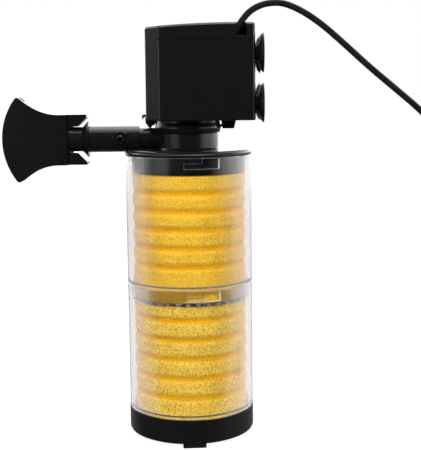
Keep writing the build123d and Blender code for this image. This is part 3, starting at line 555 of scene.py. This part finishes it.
def sponge_profile(height, first, pitch):
    """(radius, height, outward, upward) along the foam's foot, grooved side and head."""
    rows = round(height / SPONGE_GRID)
    end_rows = round((SPONGE_R - SPONGE_BORE_R) / SPONGE_END_GRID)
    reach = SPONGE_R - SPONGE_EDGE_IN - SPONGE_BORE_R
    foot = [(SPONGE_BORE_R + reach * i / end_rows, 0.0, 0.0, -1.0) for i in range(end_rows)]
    head = [(r, height, 0.0, 1.0) for r, _, _, _ in reversed(foot)]
    side = []
    for i in range(rows + 1):
        z = height * i / rows
        edge = max(0.0, 1.0 - min(z, height - z) / SPONGE_EDGE_H)
        r = SPONGE_R - GROOVE_DEPTH * groove_depth(z, first, pitch) - SPONGE_EDGE_IN * edge**2
        side.append((r, z, 1.0, 0.0))
    return foot + side + head


def make_sponge(name, replaced, body, first, pitch, material=None):
    """A foam ring with soft annular grooves, and pores all over it."""
    low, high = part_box(replaced)
    profile = sponge_profile(high[2] - low[2], first, pitch)
    count = round(2 * math.pi * SPONGE_R / SPONGE_GRID)
    total = len(profile)
    verts, faces = [], []
    for r, z, out, up in profile:
        for k in range(count):
            angle = 2 * math.pi * k / count
            ray = Vector((math.cos(angle), math.sin(angle), 0.0))
            place = ray * r + Vector((0, 0, low[2] + z))
            verts.append(place - (ray * out + Vector((0, 0, up))) * pore_dent(place))
    for j in range(total):
        here, after = j * count, (j + 1) % total * count
        for k in range(count):
            beside = (k + 1) % count
            faces.append((here + k, here + beside, after + beside, after + k))
    sponge = add_piece(name, verts, faces, body, "yellow_foam", [replaced], sharp_deg=180.0)
    if material:
        sponge.data.materials[0] = material


# ---- mains cord -------------------------------------------------------------------------------------
def coil_points():
    """The put-away turns: a spiral inwards on the floor, then one outwards on top of it."""
    points = []
    low_steps = round(COIL_LOW_TURNS * COIL_POINTS_PER_TURN)
    top_steps = round(COIL_TOP_TURNS * COIL_POINTS_PER_TURN)
    angle = math.pi
    step = -2 * math.pi / COIL_POINTS_PER_TURN
    for i in range(low_steps):
        radius = COIL_OUTER_R + (COIL_INNER_R - COIL_OUTER_R) * i / low_steps
        points.append((radius, angle, LAYER_LOW_Z))
        angle += step
    for i in range(top_steps):
        radius = COIL_INNER_R + (COIL_TOP_OUTER_R - COIL_INNER_R) * i / top_steps
        climb = min(1.0, i / CLIMB_POINTS)
        points.append((radius, angle, LAYER_LOW_Z + (LAYER_TOP_Z - LAYER_LOW_Z) * climb))
        angle += step
    return [(COIL_X + r * math.cos(a), r * math.sin(a), z) for r, a, z in points]


def cord_spline():
    """The cord's centreline as one NURBS curve: from the strain relief, through the coil, to the plug."""
    points = [[c * MM for c in p] for p in CORD_ROUTE_MM]
    points += coil_points()
    points += [[c * MM for c in p] for p in TAIL_ROUTE_MM]
    curve = bpy.data.curves.new("cord_line", "CURVE")
    curve.dimensions = "3D"
    spline = curve.splines.new("NURBS")
    spline.points.add(len(points) - 1)
    for place, p in zip(spline.points, points):
        place.co = (*p, 1.0)
    spline.order_u = 3
    spline.use_endpoint_u = True
    spline.resolution_u = 8
    return curve


def line_points(curve):
    """The points along a curve that has no bevel."""
    holder = bpy.data.objects.new("line_holder", curve)
    scene.collection.objects.link(holder)
    graph = bpy.context.evaluated_depsgraph_get()
    mesh = bpy.data.meshes.new_from_object(holder.evaluated_get(graph))
    points = [v.co.copy() for v in mesh.vertices]
    bpy.data.meshes.remove(mesh)
    bpy.data.objects.remove(holder)
    return points


def cord_section():
    """The flat twin cord's section: two round cores with a shallow groove between them."""
    core_r = CORD_T / 2
    offset = CORD_W / 2 - core_r
    outline = []
    for i in range(CORD_SIDES):
        angle = 2 * math.pi * (i + 0.5) / CORD_SIDES
        side = math.copysign(offset, math.cos(angle))
        across = side + core_r * math.cos(angle)
        groove = 1.0 - CORD_GROOVE * math.exp(-((across / CORD_GROOVE_W) ** 2))
        outline.append((across, core_r * math.sin(angle) * groove))
    return outline


def sweep(points, outline, first_across):
    """Vertices and faces of an outline carried along points without twist, with closed ends."""
    tangents = []
    for i in range(len(points)):
        a, b = points[max(i - 1, 0)], points[min(i + 1, len(points) - 1)]
        tangents.append((b - a).normalized())
    across = (first_across - tangents[0] * first_across.dot(tangents[0])).normalized()
    verts, faces = [], []
    count = len(outline)
    for i, (place, tangent) in enumerate(zip(points, tangents)):
        if i:
            turn = tangents[i - 1].rotation_difference(tangent)
            across = turn @ across
            across = (across - tangent * across.dot(tangent)).normalized()
        up = tangent.cross(across)
        verts += [place + across * u + up * v for u, v in outline]
    for i in range(len(points) - 1):
        for j in range(count):
            k = (j + 1) % count
            faces.append((i * count + j, i * count + k, (i + 1) * count + k, (i + 1) * count + j))
    faces.append(tuple(reversed(range(count))))
    faces.append(tuple(range((len(points) - 1) * count, len(points) * count)))
    return verts, faces


def make_cord():
    """The flat mains cord, from the strain relief to the plug, with its whole length in one piece."""
    points = line_points(cord_spline())
    start = points[1] - points[0]
    across = Vector((-start.z, 0.0, start.x))
    verts, faces = sweep(points, cord_section(), across)
    cord = add_piece(
        "mains_cord", verts, faces, "pump_head", "cord_sheath", ["power_cord", "cord_coil", "cord_tail"]
    )


# ---- CAD nodes that stay ----------------------------------------------------------------------------
def dress_nodes():
    """Gives each CAD node its material, welded normals and slightly rounded edges."""
    slots = {row["node"]: row["material_slot"] for row in frame["record"]["subparts"]}
    for name, obj in frame["nodes"].items():
        obj.data.materials.clear()
        obj.data.materials.append(MATERIALS[slots[name]])
        weld = obj.modifiers.new("weld", "WELD")
        weld.merge_threshold = 1e-6
        edge = obj.modifiers.new("edge", "BEVEL")
        edge.width = EDGE_ROUND
        edge.segments = 2
        edge.limit_method = "ANGLE"
        edge.angle_limit = math.radians(EDGE_FROM_DEG)
        edge.use_clamp_overlap = True
        flat = obj.modifiers.new("flat", "WEIGHTED_NORMAL")
        flat.keep_sharp = True


# ---- stage ------------------------------------------------------------------------------------------
def make_floor():
    """A plain pale floor that runs on behind the object."""
    mat, tree, shader = new_material("floor")
    shader.inputs["Base Color"].default_value = (0.12, 0.12, 0.12, 1)
    shader.inputs["Roughness"].default_value = 0.8
    shader.inputs["Specular IOR Level"].default_value = 0.0
    shader.inputs["Emission Color"].default_value = (1, 1, 1, 1)
    shader.inputs["Emission Strength"].default_value = 0.9
    front, back, side = -0.09, 6.0, 4.0
    mesh = bpy.data.meshes.new("floor")
    corners = [(-side, front, 0), (side, front, 0), (side, back, 0), (-side, back, 0)]
    mesh.from_pydata(corners, [], [(0, 1, 2, 3)])
    floor = bpy.data.objects.new("floor", mesh)
    scene.collection.objects.link(floor)
    mesh.materials.append(mat)
    floor.visible_glossy = False


def area_light(name, place, target, size, power, mirrored=True):
    """A soft rectangular light that faces a target; gloss shows it only where it is mirrored."""
    data = bpy.data.lights.new(name, "AREA")
    data.shape = "RECTANGLE"
    data.size, data.size_y = size
    data.energy = power
    lamp = bpy.data.objects.new(name, data)
    lamp.location = place
    lamp.visible_glossy = mirrored
    lamp.rotation_euler = (Vector(target) - Vector(place)).to_track_quat("-Z", "Y").to_euler()
    scene.collection.objects.link(lamp)


def studio_lobe(tree, coords, direction, start, end, strength):
    """Light that rises from nothing at one cosine off a direction to full at another."""
    cosine = node(tree, "ShaderNodeVectorMath", {1: direction}, operation="DOT_PRODUCT")
    tree.links.new(coords, cosine.inputs[0])
    span = {"From Min": start, "From Max": end, "To Min": 0.0, "To Max": strength}
    lobe = node(tree, "ShaderNodeMapRange", span, interpolation_type="SMOOTHSTEP")
    tree.links.new(cosine.outputs["Value"], lobe.inputs["Value"])
    return lobe.outputs["Result"]


def above_horizon(tree, coords):
    """A factor that fades the studio out below the horizon."""
    split = node(tree, "ShaderNodeSeparateXYZ")
    tree.links.new(coords, split.inputs[0])
    span = {"From Min": -0.14, "From Max": 0.02, "To Min": 0.05, "To Max": 1.0}
    above = node(tree, "ShaderNodeMapRange", span, interpolation_type="SMOOTHSTEP")
    tree.links.new(split.outputs["Z"], above.inputs["Value"])
    return above.outputs["Result"]


def make_world():
    """A studio that is bright above, behind and at the sides, and plain white where it is seen directly."""
    world = bpy.data.worlds.new("studio")
    scene.world = world
    world.use_nodes = True
    tree = world.node_tree
    tree.nodes.clear()
    coords = node(tree, "ShaderNodeTexCoord").outputs["Generated"]
    total = 0.0
    for lobe in STUDIO_LOBES:
        total = math_value(tree, "ADD", total, studio_lobe(tree, coords, *lobe))
    raised = math_value(tree, "MULTIPLY", total, above_horizon(tree, coords))
    level = math_value(tree, "ADD", raised, STUDIO_DIM)
    lit = node(tree, "ShaderNodeBackground")
    tree.links.new(level, lit.inputs["Color"])
    seen = node(tree, "ShaderNodeBackground", {"Color": (1.0, 1.0, 1.0, 1.0), "Strength": 1.0})
    ray = node(tree, "ShaderNodeLightPath")
    mix = node(tree, "ShaderNodeMixShader")
    tree.links.new(ray.outputs["Is Camera Ray"], mix.inputs["Fac"])
    tree.links.new(lit.outputs[0], mix.inputs[1])
    tree.links.new(seen.outputs[0], mix.inputs[2])
    out = node(tree, "ShaderNodeOutputWorld")
    tree.links.new(mix.outputs[0], out.inputs["Surface"])


def make_lights():
    """Softboxes in front and above; the front one gives no highlights, so upright gloss stays dark."""
    area_light("key_box", (-0.13, -1.2, 0.95), (0, 0, 0.15), (1.4, 0.8), 44, mirrored=False)
    area_light("top_box", (0.3, 0.3, 1.5), (0, 0, 0.2), (1.4, 1.2), 10)


make_camera()
make_cord()
make_canister("upper_clear_cup", "upper_canister", "upper_module")
make_canister("lower_clear_cup", "lower_canister", "lower_module")
make_sponge("upper_foam", "upper_sponge", "upper_module", UPPER_FIRST_GROOVE, UPPER_PITCH)
make_sponge("lower_foam", "lower_sponge", "lower_module", LOWER_FIRST_GROOVE, LOWER_PITCH, COARSE_FOAM)
dress_nodes()
make_floor()
make_world()
make_lights()
scene.view_settings.view_transform = "Standard"
